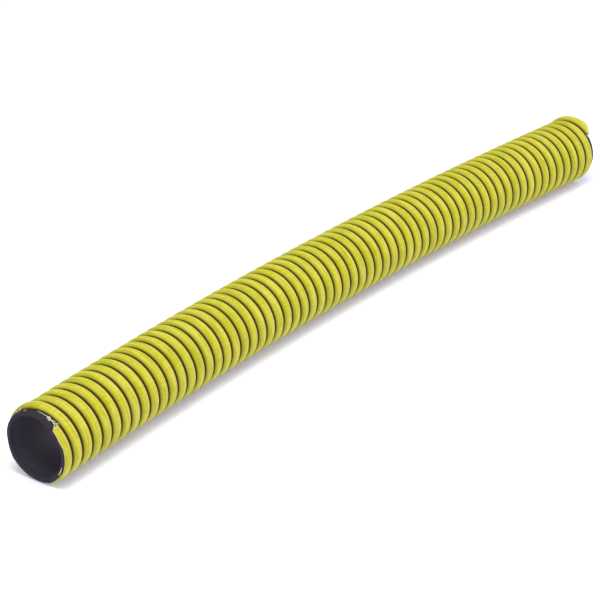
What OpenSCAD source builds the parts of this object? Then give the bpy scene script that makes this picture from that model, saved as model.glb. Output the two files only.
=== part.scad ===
/* [Hose] */
// Length of the hose along its middle line, from one cut end to the other
hose_length = 722; // [450:1:760]
// Diameter of the smooth bore
bore_d = 50.8; // [38:0.1:64]
// How far the hose bows in all, from one end to the other, in degrees
bow_angle = 9.5; // [5:0.5:20]
// Straight stretch at each end, where a hose tail is pushed in
end_straight = 40; // [20:1:60]

/* [Wall] */
// Thickness of the inner tube, the smooth black layer that lines the bore
liner_wall = 0.8; // [0.6:0.1:2]
// Thickness of the rubber web that lies over the inner tube, between the turns of the helix
web_wall = 2.4; // [1.4:0.1:3]

/* [Helix] */
// Distance along the hose from one turn of the helix to the next
pitch = 11.3; // [11:0.1:16]
// Width of the helix at its foot, along the hose
rib_width = 9.1; // [6:0.1:9.4]
// How far the crest of the helix stands out beyond the web
rib_proud = 2.4; // [1:0.1:4]
// Rubber left between the foot of the helix and the inner tube
foot_cover = 0.3; // [0.2:0.1:0.6]
// Distance from the near end to the first gap in the helix, on top of the hose
first_gap = 6.2; // [1:0.1:9]
// Direction round the hose in which the helix starts, clockwise from the top, in degrees
start_turn = 30; // [0:5:90]
// Direction round the hose in which the helix ends, clockwise from the top, in degrees
stop_turn = 65; // [0:5:90]

/* [Hidden] */

// Radii of the layers, from the bore outwards
bore_r = bore_d / 2;
liner_r = bore_r + liner_wall;
web_r = liner_r + web_wall;
crest_r = web_r + rib_proud;

// The bow is one arc in the horizontal plane, with a straight stretch at each end
arc_length = hose_length - 2 * end_straight;
half_bow = bow_angle / 2;
bow_r = arc_length * 180 / (PI * bow_angle);

// Middle of the hose's outline in y, so that the origin lies at the middle of its base
crown_y = crest_r;
heel_y = -bow_r * (1 - cos(half_bow)) - end_straight * sin(half_bow) - crest_r * cos(half_bow);
shift_y = -(crown_y + heel_y) / 2;

// The helix is swept in equal steps round the hose, and its flat sides clear the inner tube
steps = 16;
step_angle = 360 / steps;
pipe_faces = 96;
bow_faces = 256;

// The bowed stretch is this much wider than the straight ends, which reach this far into it
bow_ease = 0.05;
bow_lap = 0.5;

// Radii of the rib's foot and shoulder. The rib is a rounded arch, and its crest is at crest_r
shoulder_share = 0.55;
shoulder_r = web_r + shoulder_share * rib_proud;
foot_r = (liner_r + foot_cover) / cos(step_angle / 2);

// The helix ends where so little of its width is left beside the cut that it breaks away
thinnest_rib = 0.8;

// First and last step of the sweep, counted from the top of the first gap
last_gap = floor((hose_length - first_gap) / pitch);
first_whole = (thinnest_rib - rib_width / 2 - first_gap - pitch / 2) * steps / pitch;
last_whole = (hose_length - thinnest_rib + rib_width / 2 - first_gap - pitch / 2) * steps / pitch;
start_step = ceil(max((start_turn - 360) / step_angle, first_whole));
stop_step = floor(min(last_gap * steps + stop_turn / step_angle, last_whole));

black = [0.10, 0.10, 0.11];
soft_black = [0.16, 0.15, 0.15];
yellow = [0.82, 0.82, 0.16];

// Point [x, y] on the middle line at the distance s from the near end
function middle(s) =
    s < end_straight ? arc_point(0) - (end_straight - s) * heading_vector(0)
    : s > hose_length - end_straight
        ? arc_point(arc_length) + (s - hose_length + end_straight) * heading_vector(arc_length)
    : arc_point(s - end_straight);

// Point on the arc, and the direction of the hose there, at the distance t along the arc
function turned(t) = half_bow - bow_angle * t / arc_length;
function arc_point(t) = [-bow_r * sin(turned(t)), bow_r * (cos(turned(t)) - 1) + shift_y];
function heading_vector(t) = [cos(turned(t)), sin(turned(t))];
function heading(s) = turned(min(max(s - end_straight, 0), arc_length));

// Point on the hose at the distance s, the radius r and the angle a, clockwise from the top
// as seen from the near end
function on_hose(s, r, a) = [
    middle(s)[0] + r * sin(a) * sin(heading(s)),
    middle(s)[1] - r * sin(a) * cos(heading(s)),
    crest_r + r * cos(a)
];

// Middle of the rib at step k, half a pitch past the first gap on top of the hose
function rib_middle(k) = first_gap + pitch / 2 + pitch * k / steps;

// Distances are held between the two cut ends, so that the rib is cut square with the hose
function held(s) = min(max(s, 0), hose_length);

// Radius of the rib's top at the offset u from its middle
function rib_top(u) = crest_r - (crest_r - shoulder_r) * abs(u) / (rib_width / 2);

// Section of the rib whose middle is at s, as [distance along the hose, radius] pairs
function rib_section(s) = [
    [held(s - rib_width / 2), foot_r],
    [held(s - rib_width / 2), shoulder_r],
    [held(s), rib_top(held(s) - s)],
    [held(s + rib_width / 2), shoulder_r],
    [held(s + rib_width / 2), foot_r]
];

// A round rod that follows the hose, with each straight end made longer by extra
module bowed_rod(radius, extra) {
    end_length = bow_lap + end_straight + extra;
    translate([0, shift_y - bow_r, crest_r]) {
        rotate_extrude(angle = bow_angle, start = 90 - half_bow, $fn = bow_faces)
            translate([bow_r, 0]) circle(radius + bow_ease, $fn = pipe_faces);
        for (side = [-1, 1])
            rotate([0, 0, -side * half_bow])
                translate([-side * bow_lap, bow_r, 0])
                    rotate([0, side * 90, 0])
                        cylinder(h = end_length, r = radius, $fn = pipe_faces);
    }
}

// A layer of the wall, with the bore or the layer inside it taken out
module layer(inner_r, outer_r) {
    difference() {
        bowed_rod(outer_r, 0);
        bowed_rod(inner_r, 1);
    }
}

// Smooth black tube that lines the bore
module inner_tube() {
    color(black) layer(bore_r, liner_r);
}

// Black rubber laid over the inner tube, which shows between the turns of the helix
module rubber_web() {
    color(soft_black) layer(liner_r, web_r);
}

// Rigid yellow helix, wound round the outside in one length
module helix() {
    corners = len(rib_section(0));
    count = stop_step - start_step + 1;
    points = [
        for (k = [start_step : stop_step])
            for (c = rib_section(rib_middle(k)))
                on_hose(c[0], c[1], k * step_angle)
    ];
    sides = [
        for (i = [0 : count - 2])
            for (j = [0 : corners - 1])
                let (n = (j + 1) % corners)
                    [i * corners + j, i * corners + n, (i + 1) * corners + n, (i + 1) * corners + j]
    ];
    first_face = [for (j = [corners - 1 : -1 : 0]) j];
    last_face = [for (j = [0 : corners - 1]) (count - 1) * corners + j];
    color(yellow) polyhedron(points, concat([first_face], sides, [last_face]), convexity = 10);
}

inner_tube();
rubber_web();
helix();
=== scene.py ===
"""A bare length of suction hose: black rubber, with one rigid yellow rib wound round it."""
import math
import random

import bmesh
import bpy
from mathutils import Matrix, Vector, noise


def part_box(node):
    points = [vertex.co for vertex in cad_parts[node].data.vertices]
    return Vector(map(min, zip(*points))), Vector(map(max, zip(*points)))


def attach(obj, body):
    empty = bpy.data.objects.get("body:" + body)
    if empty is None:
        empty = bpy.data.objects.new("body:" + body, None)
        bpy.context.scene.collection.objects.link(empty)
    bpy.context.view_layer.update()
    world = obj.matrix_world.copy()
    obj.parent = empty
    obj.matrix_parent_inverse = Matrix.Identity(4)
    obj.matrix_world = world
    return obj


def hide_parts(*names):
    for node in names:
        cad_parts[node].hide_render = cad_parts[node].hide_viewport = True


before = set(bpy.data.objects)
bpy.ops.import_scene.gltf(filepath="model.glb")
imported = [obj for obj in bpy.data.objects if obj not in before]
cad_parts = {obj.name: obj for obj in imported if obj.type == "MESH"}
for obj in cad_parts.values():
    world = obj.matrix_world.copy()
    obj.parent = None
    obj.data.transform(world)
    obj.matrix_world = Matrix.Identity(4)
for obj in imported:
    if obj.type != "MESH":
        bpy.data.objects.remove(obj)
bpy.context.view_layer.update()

RIB_LOW, RIB_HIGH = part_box("helix")

MM = 0.001

# Sizes of the hose, as the CAD source gives them
HOSE_LENGTH = 722 * MM
BORE_R = 25.4 * MM
LINER_R = 26.2 * MM
WEB_R = 28.6 * MM
CREST_R = (RIB_HIGH.z - RIB_LOW.z) / 2
BOW = math.radians(9.5)
END_STRAIGHT = 40 * MM
PITCH = 11.3 * MM
RIB_WIDTH = 9.1 * MM
FIRST_GAP = 6.2 * MM

# The bow of the middle line
ARC = HOSE_LENGTH - 2 * END_STRAIGHT
BOW_R = ARC / BOW
HEEL_Y = BOW_R * (1 - math.cos(BOW / 2)) + END_STRAIGHT * math.sin(BOW / 2)
HEEL_Y += CREST_R * math.cos(BOW / 2)
SHIFT_Y = (HEEL_Y - CREST_R) / 2

# The far cut follows the groove round part of the hose, so the last turn is whole on top.
# Each pair is an angle from the top, in degrees, and how many millimetres the cut lies
# beyond the square end
WALL_OVERRUN = (
    (-180, 0), (-100, 4.3), (-40, 6.8), (20, 6.8), (45, 1.5), (110, 1.5), (150, 0), (180, 0),
)
RIB_OVERRUN = ((-180, 0), (-100, 4.0), (-40, 6.6), (25, 7.0), (50, -1.0), (55, 0), (180, 0))

# Points closer together than this are made into one
MERGE_WITHIN = 0.001 * MM


# ---------------------------------------------------------------- the hose's own space

def held(value):
    """Holds a value between 0 and 1."""
    return min(max(value, 0), 1)


def fade(distance, reach):
    """1 at no distance, and evenly down to 0 at the reach."""
    return max(0, 1 - distance / reach)


def middle(s):
    """Point on the middle line at the distance s from the near end, and the heading there."""
    t = min(max(s - END_STRAIGHT, 0), ARC)
    heading = BOW / 2 - BOW * t / ARC
    ahead = Vector((math.cos(heading), math.sin(heading), 0))
    on_arc = Vector((
        -BOW_R * math.sin(heading),
        BOW_R * (math.cos(heading) - 1) + SHIFT_Y,
        CREST_R,
    ))
    return on_arc + ahead * (s - END_STRAIGHT - t), heading


def bend(bm):
    """Lays a mesh that was made straight along x onto the bowed middle line."""
    for v in bm.verts:
        place, heading = middle(v.co.x)
        side = Vector((-math.sin(heading), math.cos(heading), 0))
        v.co = place + side * v.co.y + Vector((0, 0, v.co.z))


def clock(co):
    """Angle round the hose from the top, clockwise as seen from the near end."""
    return math.atan2(-co.y, co.z)


def rib_middle(angle):
    """Distance of the rib's middle from the near end, at the angle wound so far."""
    return FIRST_GAP + PITCH / 2 + PITCH * angle / math.tau


def wound(co):
    """Angle wound by the rib that is nearest to a point on the hose."""
    angle = clock(co)
    return angle + math.tau * round((co.x - rib_middle(angle)) / PITCH)


def overrun(co, table):
    """How far the far cut lies beyond the square end, in the direction of a point on the hose."""
    angle = math.degrees(clock(co))
    for (low, one), (high, other) in zip(table, table[1:]):
        if angle <= high:
            return (one + (other - one) * (angle - low) / (high - low)) * MM
    return 0.0


def add_object(name, data):
    """An object in the scene that shows the data."""
    made = bpy.data.objects.new(name, data)
    bpy.context.scene.collection.objects.link(made)
    return made


def finish_piece(bm, name, materials):
    """Makes the object from a finished mesh, in its place, and lets it ride on the hose's body."""
    mesh = bpy.data.meshes.new(name)
    bm.to_mesh(mesh)
    bm.free()
    for polygon in mesh.polygons:
        polygon.use_smooth = True
    for material in materials:
        mesh.materials.append(material)
    piece = add_object(name, mesh)
    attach(piece, "root")
    return piece


# ---------------------------------------------------------------- camera

CAMERA_PLACE = Vector((-1.18179, -0.97297, 0.78880))
CAMERA_YAW, CAMERA_DIP, CAMERA_ROLL = 0.70778, 0.47278, -0.02109
LENS = 118.0


def make_camera():
    """The camera looks along its yaw and dip, and rolls about that direction."""
    data = bpy.data.cameras.new("camera")
    data.sensor_width = 36
    data.lens = LENS
    data.clip_start, data.clip_end = 0.05, 50
    camera = add_object("camera", data)
    ahead = Vector((
        math.cos(CAMERA_DIP) * math.cos(CAMERA_YAW),
        math.cos(CAMERA_DIP) * math.sin(CAMERA_YAW),
        -math.sin(CAMERA_DIP),
    ))
    right = ahead.cross(Vector((0, 0, 1))).normalized()
    right.rotate(Matrix.Rotation(-CAMERA_ROLL, 3, ahead))
    up = right.cross(ahead)
    turn = Matrix((right, up, -ahead)).transposed()
    camera.matrix_world = Matrix.Translation(CAMERA_PLACE) @ turn.to_4x4()
    bpy.context.scene.camera = camera


make_camera()


# ---------------------------------------------------------------- materials

class Wires:
    """Adds nodes to a tree and joins them."""

    def __init__(self, tree):
        self.tree = tree

    def node(self, kind, settings=None, **inputs):
        made = self.tree.nodes.new("ShaderNode" + kind)
        for key, value in (settings or {}).items():
            setattr(made, key, value)
        for key, value in inputs.items():
            self.join(value, made.inputs[key])
        return made

    def join(self, value, socket):
        if isinstance(value, bpy.types.NodeSocket):
            self.tree.links.new(value, socket)
        else:
            socket.default_value = value

    def math(self, operation, *values):
        made = self.node("Math", {"operation": operation})
        for value, socket in zip(values, made.inputs):
            self.join(value, socket)
        return made.outputs[0]

    def mix(self, factor, a, b):
        made = self.node("Mix", {"data_type": "RGBA"})
        for value, socket in zip((factor, a, b), (made.inputs[0], made.inputs[6], made.inputs[7])):
            self.join(value, socket)
        return made.outputs[2]

    def span(self, value, low, high, to_low=0.0, to_high=1.0):
        made = self.node("MapRange", {"clamp": True})
        for item, socket in zip((value, low, high, to_low, to_high), made.inputs):
            self.join(item, socket)
        return made.outputs[0]

    def noise(self, vector, scale, detail=2.0, roughness=0.5):
        made = self.node("TexNoise", {"noise_dimensions": "3D"})
        for value, socket in (
            (vector, "Vector"), (scale, "Scale"), (detail, "Detail"), (roughness, "Roughness"),
        ):
            self.join(value, made.inputs[socket])
        return made.outputs[0]

    def stretched_noise(self, vector, scales, detail, roughness):
        """Noise with its own scale in each of the three directions."""
        made = self.node("VectorMath", {"operation": "MULTIPLY"})
        self.join(vector, made.inputs[0])
        self.join(scales, made.inputs[1])
        return self.noise(made.outputs[0], 1.0, detail, roughness)

    def attribute(self, name, output):
        return self.node("Attribute", {"attribute_name": name}).outputs[output]

    def axis(self, vector, letter):
        return self.node("SeparateXYZ", None, Vector=vector).outputs[letter]

    def group(self, tree, vector):
        made = self.node("Group", {"node_tree": tree})
        self.join(vector, made.inputs["Vector"])
        return made.outputs


def new_group(name, labels):
    """A shader group that turns a vector into named values: its tree, wires, input and outputs."""
    tree = bpy.data.node_groups.new(name, "ShaderNodeTree")
    tree.interface.new_socket("Vector", in_out="INPUT", socket_type="NodeSocketVector")
    for label in labels:
        tree.interface.new_socket(label, in_out="OUTPUT", socket_type="NodeSocketFloat")
    given = tree.nodes.new("NodeGroupInput").outputs[0]
    return tree, Wires(tree), given, tree.nodes.new("NodeGroupOutput").inputs


# How often each pattern of the plastic changes in a metre: along the rib, across it, outwards
FINE_STREAKS = (60.0, 2600.0, 900.0)
BROAD_STREAKS = (40.0, 640.0, 300.0)
CROSS_MARKS = (900.0, 120.0, 120.0)
COLOUR_PATCHES = (38.0, 150.0, 150.0)
PIT_GRAIN = 1500.0

# The same for the rubber, in every direction
FINE_RUBBER = 1400.0
DUST_CLOUDS = 140.0


def drawn_plastic_group():
    """Streaks, patches and small pits of plastic drawn through a die, along the x of its input."""
    tree, w, given, out = new_group("drawn_plastic", ("Streaks", "Patches", "Pits", "Height"))
    fine = w.stretched_noise(given, FINE_STREAKS, 3.0, 0.6)
    broad = w.stretched_noise(given, BROAD_STREAKS, 2.0, 0.5)
    cross = w.stretched_noise(given, CROSS_MARKS, 2.0, 0.5)
    pits = w.span(w.noise(given, PIT_GRAIN), 0.66, 0.8)
    streaks = w.math("ADD", w.math("MULTIPLY", fine, 0.35), w.math("MULTIPLY", cross, 0.25))
    w.join(w.math("ADD", streaks, w.math("MULTIPLY", broad, 0.40)), out["Streaks"])
    w.join(w.stretched_noise(given, COLOUR_PATCHES, 3.0, 0.55), out["Patches"])
    w.join(pits, out["Pits"])
    height = w.math("ADD", w.math("MULTIPLY", fine, 0.5), w.math("MULTIPLY", cross, 0.5))
    w.join(w.math("SUBTRACT", height, w.math("MULTIPLY", pits, 0.6)), out["Height"])
    return tree


def rubber_grain_group():
    """Fine grain and dust of black rubber."""
    tree, w, given, out = new_group("rubber_grain", ("Grain", "Dust"))
    w.join(w.noise(given, FINE_RUBBER, 3.0, 0.6), out["Grain"])
    w.join(w.span(w.noise(given, DUST_CLOUDS, 4.0, 0.65), 0.45, 0.75), out["Dust"])
    return tree


DRAWN_PLASTIC = drawn_plastic_group()
RUBBER_GRAIN = rubber_grain_group()


def new_material(name, shine):
    """A material with a Principled shader, with its wires and the shader's inputs."""
    material = bpy.data.materials.new(name)
    material.use_nodes = True
    inputs = material.node_tree.nodes["Principled BSDF"].inputs
    inputs["Specular IOR Level"].default_value = shine
    return material, Wires(material.node_tree), inputs


def add_bump(w, inputs, height, distance, strength):
    bump = w.node("Bump", None, Height=height, Distance=distance, Strength=strength)
    w.join(bump.outputs[0], inputs["Normal"])


SULPHUR = (0.505, 0.485, 0.005, 1)
GREENER = (0.420, 0.445, 0.004, 1)
WARMER = (0.560, 0.475, 0.008, 1)
PALE_STREAK = (0.680, 0.610, 0.130, 1)
DEEP_STREAK_AND_FLANK_SHADE = (0.310, 0.310, 0.003, 1)
SHOULDER_HIGHLIGHT = (0.700, 0.590, 0.220, 1)
FOOT_SHADE = (0.090, 0.068, 0.004, 1)
TORN = (0.720, 0.690, 0.420, 1)
WHITENED = (0.80, 0.78, 0.62, 1)
CUT_YELLOW = (0.720, 0.660, 0.060, 1)

# Heights above the web and places across the rib where its colour changes: painted shade low on
# the rib where it meets the web, a painted highlight along the far shoulder and painted shade on
# the near flank
FOOT_SHADE_TOP = 1.25 * MM
SHOULDER_HIGHLIGHT_SPAN = (2.3 * MM, 3.4 * MM)
FLANK_SHADE_SPAN = (-1.6 * MM, -3.9 * MM)


def yellow_rib_material():
    """Satin sulphur-yellow plastic, with painted shade low down where it meets the rubber and on
    each near flank, and a painted highlight along each far shoulder.
    """
    material, w, shader = new_material("yellow_rib", shine=0.25)
    run = w.attribute("run", "Vector")
    torn = w.attribute("torn", "Fac")
    drawn = w.group(DRAWN_PLASTIC, run)
    across = w.axis(run, "Y")
    colour = w.mix(w.span(drawn["Patches"], 0.38, 0.62), GREENER, WARMER)
    colour = w.mix(0.45, colour, SULPHUR)
    colour = w.mix(w.span(drawn["Streaks"], 0.49, 0.60, to_high=0.6), colour, PALE_STREAK)
    colour = w.mix(w.span(drawn["Streaks"], 0.49, 0.39, to_high=0.7), colour, DEEP_STREAK_AND_FLANK_SHADE)
    # Painted highlight: a pale line along the far shoulder of every turn
    colour = w.mix(w.span(across, *SHOULDER_HIGHLIGHT_SPAN, to_high=0.6), colour, SHOULDER_HIGHLIGHT)
    # Painted shade: the near flank of every turn is darkened with the deep streak colour
    colour = w.mix(w.span(across, *FLANK_SHADE_SPAN, to_high=0.6), colour, DEEP_STREAK_AND_FLANK_SHADE)
    # Painted shade: the rib goes dark olive low down, where it meets the web between the turns
    colour = w.mix(w.span(w.axis(run, "Z"), FOOT_SHADE_TOP, 0.0), colour, FOOT_SHADE)
    w.join(w.mix(torn, colour, TORN), shader["Base Color"])
    rough = w.span(drawn["Streaks"], 0.3, 0.7, 0.36, 0.52)
    w.join(w.math("MAXIMUM", rough, w.math("MULTIPLY", torn, 0.8)), shader["Roughness"])
    add_bump(w, shader, drawn["Height"], 0.12 * MM, 0.6)
    return material


def cut_rib_material():
    """The rib's plastic where it was cut through: paler, duller and smeared."""
    material, w, shader = new_material("cut_rib", shine=0.4)
    drawn = w.group(DRAWN_PLASTIC, w.node("TexCoord").outputs["Object"])
    torn = w.attribute("torn", "Fac")
    colour = w.mix(w.span(drawn["Streaks"], 0.4, 0.65), CUT_YELLOW, SULPHUR)
    w.join(w.mix(w.math("MULTIPLY", torn, 0.8), colour, TORN), shader["Base Color"])
    w.join(w.span(drawn["Streaks"], 0.3, 0.7, 0.5, 0.7), shader["Roughness"])
    add_bump(w, shader, drawn["Height"], 0.2 * MM, 0.8)
    return material


def torn_material():
    """Thin slivers of the plastic, whitened where they tore."""
    material, w, shader = new_material("torn_plastic", shine=0.3)
    drawn = w.group(DRAWN_PLASTIC, w.node("TexCoord").outputs["Object"])
    w.join(w.mix(w.span(drawn["Patches"], 0.4, 0.6), TORN, WHITENED), shader["Base Color"])
    w.join(w.span(drawn["Streaks"], 0.3, 0.7, 0.6, 0.85), shader["Roughness"])
    add_bump(w, shader, drawn["Height"], 0.2 * MM, 0.8)
    return material


def rubber_material(name, base, dusty, bore_light_and_web_brown, roughness, bump, shine):
    """Dull black rubber with dust in patches, and a second colour where the mesh marks it: painted
    light deeper in the bore, browner rubber on the web.
    """
    material, w, shader = new_material(name, shine)
    grain = w.group(RUBBER_GRAIN, w.node("TexCoord").outputs["Object"])
    colour = w.mix(w.math("MULTIPLY", grain["Dust"], 0.6), base, dusty)
    w.join(w.mix(w.attribute("bore_light_and_web_brown", "Fac"), colour, bore_light_and_web_brown), shader["Base Color"])
    rough = w.span(grain["Grain"], 0.3, 0.7, roughness - 0.08, roughness + 0.08)
    w.join(rough, shader["Roughness"])
    add_bump(w, shader, grain["Grain"], bump, 0.6)
    return material


RIB_YELLOW = yellow_rib_material()
RIB_CUT = cut_rib_material()
TORN_PLASTIC = torn_material()
WEB_RUBBER = rubber_material(
    "web_rubber", base=(0.022, 0.018, 0.023, 1), dusty=(0.038, 0.032, 0.042, 1),
    bore_light_and_web_brown=(0.042, 0.025, 0.002, 1), roughness=0.66, bump=0.15 * MM, shine=0.2)
LINER_RUBBER = rubber_material(
    "liner_rubber", base=(0.022, 0.018, 0.025, 1), dusty=(0.036, 0.030, 0.041, 1),
    bore_light_and_web_brown=(0.048, 0.042, 0.057, 1), roughness=0.60, bump=0.05 * MM, shine=0.25)


# ---------------------------------------------------------------- the black wall

# Stretch of the wall at each cut that has close rows of faces. The far one is drawn out
END_STRETCH = 12 * MM

# Share of a layer's thickness that is rounded off at its rims, and how far from a cut the saw
# left the layer uneven
RIM_ROUNDING = 0.22
RAG_REACH = 1.5 * MM

# The liner stops a little short of the cuts, clears the web, and bulges between the turns
# except close to its ends
LINER_SETBACK = 0.25 * MM
LINER_GAP = 0.02 * MM
LINER_BULGE = 0.10 * MM
LINER_PLAIN_END = 2 * MM
# Painted light: the bore is coloured lighter from this far inside each cut onwards, where less
# light reaches it
BORE_LIGHT_OVER = 6 * MM
LINER_AROUND = 96

# The web's outside is uneven and stays a little inside its full radius. It is rougher near the
# mouth, where the rib tore off, and browner further in, between the turns of the rib
WEB_SETBACK = 0.2 * MM
WEB_OUTSIDE_FROM = LINER_R + 0.5 * MM
WEB_INSET = 0.06 * MM
LUMPS_PER_METRE, LUMP_DEPTH = 420, 0.10 * MM
GRAINS_PER_METRE, GRAIN_DEPTH = 1300, 0.05 * MM
WEB_ROUGH, BARE_ROUGHER = 0.4, 2.2
BARE_REACH = 9 * MM
WEB_BROWN_FROM, WEB_BROWN_OVER = 6 * MM, 3 * MM
WEB_AROUND = 120

# Rubber that is smeared over the rib's foot low down on the near mouth, or packed against it:
# how thick, how far in, and the angles between which it rises and between which it ends
LIP_FROM = WEB_R - 0.6 * MM
SMEARED_BY, SMEARED_REACH, SMEARED_ARC = 1.8 * MM, 2.2 * MM, (132, 154, 232, 262)
PACKED_BY, PACKED_REACH, PACKED_ARC = 0.85 * MM, 5 * MM, (69, 73, 130, 150)


def stations(fine_by, coarse_by):
    """Distances from the near end, close together at both cuts and further apart between them."""
    near = [fine_by * i for i in range(1, round(END_STRETCH / fine_by))]
    plain_length = HOSE_LENGTH - 2 * END_STRETCH
    count = round(plain_length / coarse_by)
    plain = [END_STRETCH + plain_length * i / count for i in range(count + 1)]
    return near + plain + [HOSE_LENGTH - s for s in reversed(near)]


def tube(bm, inner_r, outer_r, setback, around, rows):
    """A closed tube along x: its long section goes once round the axis."""
    last = HOSE_LENGTH - setback
    rows = [s for s in rows if setback < s < last]
    loop = [bm.verts.new((s, 0, outer_r)) for s in [setback] + rows + [last]]
    loop += [bm.verts.new((s, 0, inner_r)) for s in [last] + rows[::-1] + [setback]]
    rim = [loop[0], loop[len(rows) + 1], loop[len(rows) + 2], loop[-1]]
    for pair in zip(loop, loop[1:] + loop[:1]):
        bm.edges.new(pair)
    bmesh.ops.bevel(
        bm, geom=rim, affect="VERTICES", offset=(outer_r - inner_r) * RIM_ROUNDING, segments=2,
        profile=0.5, material=-1, offset_type="OFFSET",
    )
    bmesh.ops.spin(
        bm, geom=bm.verts[:] + bm.edges[:], cent=(0, 0, 0), axis=(1, 0, 0),
        angle=math.tau, steps=around, use_merge=True,
    )
    bmesh.ops.remove_doubles(bm, verts=bm.verts[:], dist=MERGE_WITHIN)
    bmesh.ops.recalc_face_normals(bm, faces=bm.faces[:])


def rag(bm, depth, scale):
    """Roughens both cut rims, which a saw leaves slightly uneven."""
    for v in bm.verts:
        near_cut = min(v.co.x, HOSE_LENGTH - v.co.x)
        if near_cut < RAG_REACH:
            push = depth * (0.5 + 0.5 * noise.noise(v.co * scale))
            v.co.x += push * (1 - near_cut / RAG_REACH) * (1 if v.co.x < HOSE_LENGTH / 2 else -1)


def draw_out_wall(bm):
    """Moves the end of the wall along x to its far cut, by more the nearer it is to the end."""
    for v in bm.verts:
        share = max((v.co.x - HOSE_LENGTH) / END_STRETCH + 1, 0)
        v.co.x += overrun(v.co, WALL_OVERRUN) * share


def make_liner():
    """The smooth inner tube, which bulges very slightly between the turns of the rib."""
    bm = bmesh.new()
    rows = stations(fine_by=2 * MM, coarse_by=PITCH / 2)
    tube(bm, BORE_R, LINER_R - LINER_GAP, LINER_SETBACK, LINER_AROUND, rows)
    for v in bm.verts:
        radius = math.hypot(v.co.y, v.co.z)
        near_cut = min(v.co.x, HOSE_LENGTH - v.co.x)
        if radius < BORE_R + 0.05 * MM and near_cut > LINER_PLAIN_END:
            phase = (v.co.x - rib_middle(clock(v.co))) / PITCH
            swell = 0.5 - 0.5 * math.cos(math.tau * phase)
            v.co.yz = v.co.yz * (1 + LINER_BULGE / radius * swell)
    rag(bm, depth=0.25 * MM, scale=260)
    # Painted light: lighter bore colour away from the cuts
    bore_light_and_web_brown = bm.verts.layers.float.new("bore_light_and_web_brown")
    for v in bm.verts:
        v[bore_light_and_web_brown] = held(min(v.co.x, HOSE_LENGTH - v.co.x) / BORE_LIGHT_OVER)
    draw_out_wall(bm)
    bend(bm)
    liner = finish_piece(bm, "inner_liner", [LINER_RUBBER])
    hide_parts("inner_tube")
    return liner


def within(arc, angle):
    """1 between the middle two angles of the arc, and evenly down to 0 at the outer two."""
    start, risen, falling, end = arc
    return held((angle - start) / (risen - start)) * held((end - angle) / (end - falling))


def lip(co):
    """How far the rubber of the near mouth is smeared over the rib's foot or packed against it."""
    angle = math.degrees(clock(co)) % 360
    return max(SMEARED_BY * within(SMEARED_ARC, angle) * fade(co.x, SMEARED_REACH),
               PACKED_BY * within(PACKED_ARC, angle) * fade(co.x, PACKED_REACH))


def make_web():
    """The black rubber between the turns of the rib, bare near the mouth where the rib tore off."""
    bm = bmesh.new()
    rows = stations(fine_by=0.6 * MM, coarse_by=7 * MM)
    tube(bm, LINER_R, WEB_R, WEB_SETBACK, WEB_AROUND, rows)
    for v in bm.verts:
        radius = math.hypot(v.co.y, v.co.z)
        if radius > WEB_OUTSIDE_FROM:
            rough = noise.noise(v.co * LUMPS_PER_METRE) * LUMP_DEPTH
            rough += noise.noise(v.co * GRAINS_PER_METRE) * GRAIN_DEPTH
            bare = fade(v.co.x, BARE_REACH)
            inset = WEB_INSET + abs(rough) * (WEB_ROUGH + BARE_ROUGHER * bare)
            if radius > LIP_FROM:
                inset -= lip(v.co)
            v.co.yz = v.co.yz * (1 - inset / radius)
    rag(bm, depth=0.35 * MM, scale=330)
    bore_light_and_web_brown = bm.verts.layers.float.new("bore_light_and_web_brown")
    for v in bm.verts:
        v[bore_light_and_web_brown] = held((v.co.x - WEB_BROWN_FROM) / WEB_BROWN_OVER)
    draw_out_wall(bm)
    bend(bm)
    web = finish_piece(bm, "rubber_wall", [WEB_RUBBER])
    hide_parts("rubber_web")
    return web


# ---------------------------------------------------------------- the yellow rib

# The rib is swept in equal steps round the hose, and the angle wound so far is 0 on top of its
# first whole turn. It has broken away before its first step and after its last one
STEPS_PER_TURN = 72
STEP = math.tau / STEPS_PER_TURN
FIRST_STEP = -64
LAST_STEP = 63 * STEPS_PER_TURN + 10
RIB_START, RIB_STOP = FIRST_STEP * STEP, LAST_STEP * STEP

# Its outline: a half circle in steps, flattened between the shoulder and the crest
ARCH_STEPS = 12
SHOULDER_R = WEB_R + 0.05 * MM

# Its foot is sunk into the web. The first part lies deeper, and after that the near side of the
# foot, which the mouth shows, is raised for part of a turn
SHALLOW_FOOT_R = 28.2 * MM
DEEP_FOOT_R = 28.0 * MM
RAISED_FOOT_R = 29.5 * MM
DEEP_UNTIL, SHALLOW_FROM = math.radians(-292), math.radians(-288)
RAISED_UNTIL, LEVEL_FROM = math.radians(-232), math.radians(-215)

# The rest of it drifts along the hose and has shallow ripples, and the corners of its broken
# ends are pulled out of line by some steps
DRIFT_BY, DRIFTS_PER_RADIAN = 0.10 * MM, 0.9
RIPPLE_DEPTH = 0.06 * MM
RIPPLES_PER_RADIAN, RIPPLES_ALONG, RIPPLES_OUTWARD = 4.0, 300, 200
FRAYED_STEPS = (-0.6, 1.6)

# Length of hose with the turns that are moved for the far cut, the last part of the rib, which
# is torn at that cut, and how far plastic is whitened from a broken end and from that cut
LAST_TURNS_REACH = 25 * MM
FAR_TEAR = math.radians(26)
BREAK_FADE, CUT_FADE = 2.5 * MM, 3 * MM

# The crest of the last turn is sprung outwards, and that of the first one is flared. Both are
# widened by a share of their width towards the free side
SPRUNG_ARC, SPRUNG_BY = math.radians(140), 1.5 * MM
FLARE_MIDDLE, FLARE_ARC, FLARED_BY = math.radians(-42), math.radians(64), 1.1 * MM
WIDENED = 0.12


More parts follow.
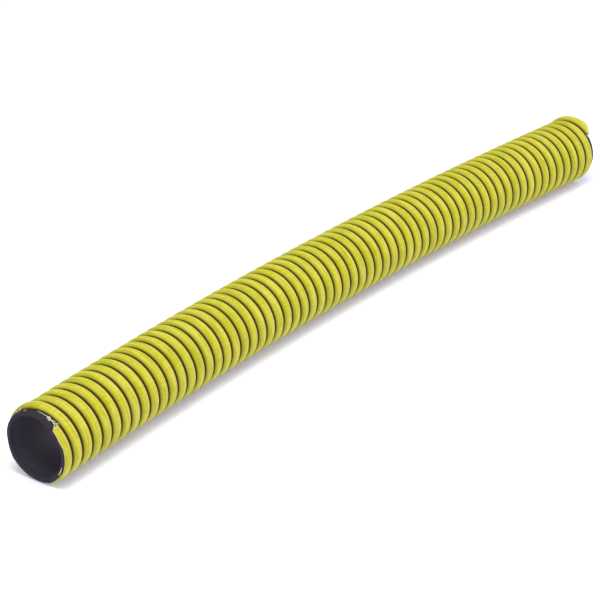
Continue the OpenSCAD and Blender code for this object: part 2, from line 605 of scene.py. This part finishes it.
def rib_outline(bm):
    """Closed outline of the rib on top of the hose: a rounded arch on two straight flanks."""
    half = RIB_WIDTH / 2
    first = bm.verts.new((-half, 0, 0))
    bmesh.ops.spin(
        bm, geom=[first], cent=(0, 0, 0), axis=(0, 1, 0), angle=math.pi, steps=ARCH_STEPS,
        use_merge=False,
    )
    bm.verts.ensure_lookup_table()
    ends = [min(bm.verts, key=lambda v: v.co.x), max(bm.verts, key=lambda v: v.co.x)]
    for v in bm.verts:
        v.co.z = SHOULDER_R + (CREST_R - SHOULDER_R) * max(0, v.co.z / half)
    feet = bmesh.ops.extrude_vert_indiv(bm, verts=ends)["verts"]
    for foot in feet:
        foot.co.z = SHALLOW_FOOT_R
    bm.edges.new(feet)


def screw(bm, verts, steps):
    """Moves a part of the rib on by a number of steps, round the hose and along it."""
    turn = Matrix.Rotation(steps * STEP, 3, "X")
    bmesh.ops.rotate(bm, verts=verts, cent=(0, 0, 0), matrix=turn)
    bmesh.ops.translate(bm, verts=verts, vec=(PITCH * steps / STEPS_PER_TURN, 0, 0))


def sweep(bm, geometry, steps):
    """Draws the outline on by a number of steps, round the hose and along it."""
    bmesh.ops.spin(
        bm, geom=geometry, cent=(0, 0, 0), axis=(1, 0, 0), dvec=(PITCH / STEPS_PER_TURN, 0, 0),
        angle=steps * STEP, steps=steps, use_merge=False,
    )


def wind_rib(bm):
    """Sweeps the outline through one turn, doubles that as often as it fits, and adds the rest."""
    bmesh.ops.translate(bm, verts=bm.verts[:], vec=(rib_middle(0), 0, 0))
    screw(bm, bm.verts[:], FIRST_STEP)
    sweep(bm, bm.verts[:] + bm.edges[:], STEPS_PER_TURN)
    wound_steps = STEPS_PER_TURN
    while FIRST_STEP + 2 * wound_steps <= LAST_STEP:
        copied = bmesh.ops.duplicate(bm, geom=bm.verts[:] + bm.edges[:] + bm.faces[:])["geom"]
        screw(bm, [v for v in copied if isinstance(v, bmesh.types.BMVert)], wound_steps)
        wound_steps *= 2
    bmesh.ops.remove_doubles(bm, verts=bm.verts[:], dist=MERGE_WITHIN)
    tip = [e for e in bm.edges if e.is_boundary and e.verts[0].co.x > HOSE_LENGTH / 2]
    tip += list({v for e in tip for v in e.verts})
    sweep(bm, tip, LAST_STEP - FIRST_STEP - wound_steps)


def close_ends(bm):
    """Fills every open loop and returns the new faces."""
    before = set(bm.faces)
    edges = [e for e in bm.edges if e.is_boundary]
    bmesh.ops.holes_fill(bm, edges=edges, sides=0)
    return [f for f in bm.faces if f not in before]


def foot_radius(angle, on_near_side):
    """How deep the foot lies at the angle wound so far, on the rib's near or far side."""
    level = SHALLOW_FOOT_R
    if on_near_side:
        raised = (LEVEL_FROM - angle) / (LEVEL_FROM - RAISED_UNTIL)
        level += (RAISED_FOOT_R - SHALLOW_FOOT_R) * held(raised)
    share = (angle - DEEP_UNTIL) / (SHALLOW_FROM - DEEP_UNTIL)
    return DEEP_FOOT_R + (level - DEEP_FOOT_R) * held(share)


def wear_rib(bm, rng):
    """Sinks the foot, makes the rest of the rib slightly uneven, and frays both broken ends."""
    for v in bm.verts:
        angle = wound(v.co)
        radius = math.hypot(v.co.y, v.co.z)
        if radius < SHALLOW_FOOT_R + 0.05 * MM:
            foot = foot_radius(angle, on_near_side=v.co.x < rib_middle(angle))
            v.co.yz = v.co.yz * (foot / radius)
        else:
            drift = noise.noise(Vector((angle * DRIFTS_PER_RADIAN, 3.0, 0.0)))
            ripple = noise.noise(Vector((
                angle * RIPPLES_PER_RADIAN, v.co.x * RIPPLES_ALONG, radius * RIPPLES_OUTWARD,
            )))
            v.co.x += DRIFT_BY * drift
            v.co.yz = v.co.yz * (1 - RIPPLE_DEPTH * abs(ripple) / radius)
        for end, sign in ((RIB_START, 1), (RIB_STOP, -1)):
            if abs(angle - end) < STEP * 0.5:
                slip = rng.uniform(*FRAYED_STEPS) * sign * STEP
                v.co.rotate(Matrix.Rotation(slip, 3, "X"))
                v.co.x += PITCH * slip / math.tau


def shift_rib_end(bm, last_turns, sign):
    """Moves the last turns of the rib along x by their overrun, or back again."""
    for v in bm.verts:
        if v[last_turns] > 0.5:
            v.co.x += sign * overrun(v.co, RIB_OVERRUN)


def cut_rib(bm):
    """Cuts the rib off at both mouths. Its last turns are drawn back by their overrun first, so
    that one square cut gives the far end the shape of the groove when they are moved out again."""
    last_turns = bm.verts.layers.float.new("last_turns")
    for v in bm.verts:
        v[last_turns] = 1.0 if v.co.x > HOSE_LENGTH - LAST_TURNS_REACH else 0.0
    shift_rib_end(bm, last_turns, -1)
    for place, outwards in ((0, -1), (HOSE_LENGTH, 1)):
        bmesh.ops.bisect_plane(
            bm, geom=bm.verts[:] + bm.edges[:] + bm.faces[:], dist=MERGE_WITHIN,
            plane_co=(place, 0, 0), plane_no=(outwards, 0, 0), clear_outer=True,
        )
        for face in close_ends(bm):
            face.material_index = 1
    bmesh.ops.triangulate(bm, faces=[f for f in bm.faces if len(f.verts) > 4])
    shift_rib_end(bm, last_turns, 1)
    bm.verts.layers.float.remove(last_turns)


def mark_rib(bm, rng):
    """Tells the material where each point lies on the rib, and how torn the plastic is there."""
    run = bm.verts.layers.float_vector.new("run")
    torn = bm.verts.layers.float.new("torn")
    for v in bm.verts:
        angle = wound(v.co)
        radius = math.hypot(v.co.y, v.co.z)
        v[run] = (angle * CREST_R, v.co.x - rib_middle(angle), radius - WEB_R)
        to_break = min(angle - RIB_START, RIB_STOP - angle) * CREST_R
        v[torn] = fade(to_break, BREAK_FADE) * rng.uniform(0.4, 1)
        if angle > RIB_STOP - FAR_TEAR:
            to_cut = HOSE_LENGTH + overrun(v.co, RIB_OVERRUN) - v.co.x
            v[torn] = fade(to_cut, CUT_FADE) * rng.uniform(0.5, 1)


def spring_rib(bm):
    """Lifts and widens the crest of the last turn and of the first one on top of the hose."""
    for v in bm.verts:
        angle = wound(v.co)
        radius = math.hypot(v.co.y, v.co.z)
        height = (radius - SHALLOW_FOOT_R) / (CREST_R - SHALLOW_FOOT_R)
        near_edge = rib_middle(angle) - RIB_WIDTH / 2
        far_edge = rib_middle(angle) + RIB_WIDTH / 2
        sprung = held(2 * ((angle - RIB_STOP) / SPRUNG_ARC + 1))
        flared = held(2 * (1 - abs(angle - FLARE_MIDDLE) / FLARE_ARC))
        v.co.x += WIDENED * sprung * (v.co.x - near_edge) - WIDENED * flared * (far_edge - v.co.x)
        v.co.yz = v.co.yz * (1 + (SPRUNG_BY * sprung + FLARED_BY * flared) * height / radius)


def make_rib():
    """One continuous rib with broken ends, whose far cut follows the groove on top of the hose."""
    bm = bmesh.new()
    rng = random.Random(7)
    rib_outline(bm)
    wind_rib(bm)
    wear_rib(bm, rng)
    close_ends(bm)
    bmesh.ops.recalc_face_normals(bm, faces=bm.faces[:])
    cut_rib(bm)
    mark_rib(bm, rng)
    spring_rib(bm)
    bend(bm)
    rib = finish_piece(bm, "yellow_rib", [RIB_YELLOW, RIB_CUT])
    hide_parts("helix")
    return rib


WEB = make_web()
LINER = make_liner()
RIB = make_rib()


# ---------------------------------------------------------------- torn slivers at the mouth

# Where the far side of the rib's foot stood, on top of the hose, before its first turn tore off
TORN_FOOT = rib_middle(0) - PITCH + RIB_WIDTH / 2


def on_hose(s, radius, angle):
    """A point in the straight space of the hose, the angle in degrees clockwise from the top."""
    a = math.radians(angle)
    return Vector((s, -radius * math.sin(a), radius * math.cos(a)))


def add_sliver(bm, rng, points, width, height):
    """A thin torn strip that follows the points, thickest in its middle and ragged all over."""
    rings = []
    for i, point in enumerate(points):
        share = i / (len(points) - 1)
        size = math.sin(math.pi * (0.08 + 0.84 * share)) * rng.uniform(0.55, 1.25)
        outward = Vector((0, point.y, point.z)).normalized()
        made = bmesh.ops.create_circle(bm, cap_ends=False, segments=5, radius=1)["verts"]
        along = (points[min(i + 1, len(points) - 1)] - points[max(i - 1, 0)]).normalized()
        side = along.cross(outward).normalized()
        for v in made:
            v.co = (point + side * v.co.x * width * size * rng.uniform(0.7, 1.2)
                    + outward * v.co.y * height * size * rng.uniform(0.7, 1.3))
        rings.append([e for e in bm.edges if e.verts[0] in made and e.verts[1] in made])
    for one, other in zip(rings, rings[1:]):
        bmesh.ops.bridge_loops(bm, edges=one + other)
    bmesh.ops.holes_fill(bm, edges=rings[0] + rings[-1], sides=0)


def torn_ridge(bm, rng):
    """The ridge that the torn-off turn left along its foot."""
    ridge = [
        on_hose(TORN_FOOT - 0.4 * MM + PITCH * a / 360 + rng.uniform(-0.15, 0.15) * MM,
                WEB_R + 0.25 * MM, a)
        for a in range(2, 27, 2)
    ]
    add_sliver(bm, rng, ridge, 0.32 * MM, 0.30 * MM)


def shreds(bm, rng, count):
    """Shreds in all directions at the end of that ridge, where the rib tore through."""
    for _ in range(count):
        angle = rng.uniform(21, 43)
        s = TORN_FOOT + PITCH * angle / 360 - rng.uniform(-0.2, 2.2) * MM
        spread = rng.uniform(3, 8)
        lean = rng.uniform(-0.9, 0.9) * MM
        rise = rng.uniform(0.1, 0.9) * MM
        strip = [
            on_hose(s + lean * t + rng.uniform(-0.1, 0.1) * MM,
                    WEB_R + rise * (0.3 + t), angle + spread * (t - 0.5))
            for t in (0, 0.25, 0.5, 0.75, 1)
        ]
        add_sliver(bm, rng, strip, rng.uniform(0.18, 0.45) * MM, rng.uniform(0.12, 0.35) * MM)


def cut_edge(bm, rng):
    """Smeared plastic on the cut itself: low down on the right, and where the foot steps up."""
    smear = [
        on_hose(-0.15 * MM, 27.4 * MM + rng.uniform(-0.2, 0.2) * MM, a)
        for a in range(108, 132, 3)
    ]
    add_sliver(bm, rng, smear, 0.25 * MM, 0.45 * MM)
    step_up = ((58, 28.1), (62, 28.3), (66, 28.5), (70, 29.0), (73, 29.5), (76, 29.6))
    add_sliver(bm, rng, [on_hose(-0.1 * MM, r * MM, a) for a, r in step_up], 0.3 * MM, 0.35 * MM)


def loose_bits(bm, rng, count):
    """Fuzz on the left shoulder of the first turn, and one fleck on the bare rubber beside it."""
    for _ in range(count):
        a = rng.uniform(312, 326)
        fuzz = [
            on_hose(rng.uniform(4.0, 5.0) * MM, WEB_R + rng.uniform(0.3, 1.7) * MM, a + step)
            for step in (0, 2, 4, 6)
        ]
        add_sliver(bm, rng, fuzz, 0.28 * MM, 0.3 * MM)
    fleck = [on_hose(3.1 * MM, WEB_R + 0.1 * MM, a) for a in (337, 339, 341, 343)]
    add_sliver(bm, rng, fleck, 0.5 * MM, 0.25 * MM)


def make_slivers():
    """Whitened plastic left along the foot of the turn that tore off, and at the cut edge."""
    rng = random.Random(23)
    bm = bmesh.new()
    torn_ridge(bm, rng)
    shreds(bm, rng, 26)
    cut_edge(bm, rng)
    loose_bits(bm, rng, 5)
    bmesh.ops.recalc_face_normals(bm, faces=bm.faces[:])
    bend(bm)
    return finish_piece(bm, "torn_slivers", [TORN_PLASTIC])


SLIVERS = make_slivers()


# ---------------------------------------------------------------- floor and lights

# The floor glows weakly and bluish, which keeps the shadow of a yellow hose pale and neutral
FLOOR_SIZE = 12
FLOOR_WHITE = (0.93, 0.93, 0.95, 1)
FLOOR_GLOW, FLOOR_GLOW_STRENGTH = (0.48, 0.46, 0.90, 1), 0.26

WORLD_WHITE, WORLD_STRENGTH = (0.94, 0.95, 1.0, 1), 0.68

# Each softbox: its name, its place, what it points at, its two sides and its power
SOFTBOXES = (
    ("top_softbox", (-0.40, -0.42, 2.0), (0, 0, 0), (1.3, 1.0), 33),
    ("far_strip", (2.0, -1.0, 0.8), (0, 0, 0.03), (1.0, 0.5), 9),
)

BORE_GLOW = (0.92, 0.86, 1.0)
BORE_GLOW_POWER = 0.058
BORE_GLOW_DEPTH = 80 * MM
BORE_GLOW_RADIUS = 12 * MM


def make_floor():
    bm = bmesh.new()
    bmesh.ops.create_grid(bm, x_segments=1, y_segments=1, size=FLOOR_SIZE)
    mesh = bpy.data.meshes.new("floor")
    bm.to_mesh(mesh)
    bm.free()
    material, _, shader = new_material("pale_floor", shine=0.1)
    shader["Roughness"].default_value = 0.9
    shader["Base Color"].default_value = FLOOR_WHITE
    shader["Emission Color"].default_value = FLOOR_GLOW
    shader["Emission Strength"].default_value = FLOOR_GLOW_STRENGTH
    mesh.materials.append(material)
    add_object("floor", mesh)


def softbox(name, place, target, size, power):
    data = bpy.data.lights.new(name, "AREA")
    data.shape = "RECTANGLE"
    data.size, data.size_y = size
    data.energy = power
    light = add_object(name, data)
    light.location = place
    light.rotation_euler = (Vector(target) - Vector(place)).to_track_quat("-Z", "Y").to_euler()


def mouth_glow():
    """A weak light inside the bore, as the white studio lights it from the far mouth."""
    data = bpy.data.lights.new("bore_glow", "POINT")
    data.energy = BORE_GLOW_POWER
    data.shadow_soft_size = BORE_GLOW_RADIUS
    data.color = BORE_GLOW
    light = add_object("bore_glow", data)
    light.location = middle(BORE_GLOW_DEPTH)[0]
    light.visible_camera = False


def make_studio():
    world = bpy.data.worlds.new("studio")
    bpy.context.scene.world = world
    world.use_nodes = True
    background = world.node_tree.nodes["Background"]
    background.inputs["Color"].default_value = WORLD_WHITE
    background.inputs["Strength"].default_value = WORLD_STRENGTH
    for one in SOFTBOXES:
        softbox(*one)
    mouth_glow()
    bpy.context.scene.view_settings.view_transform = "Standard"


make_floor()
make_studio()

bpy.context.view_layer.update()
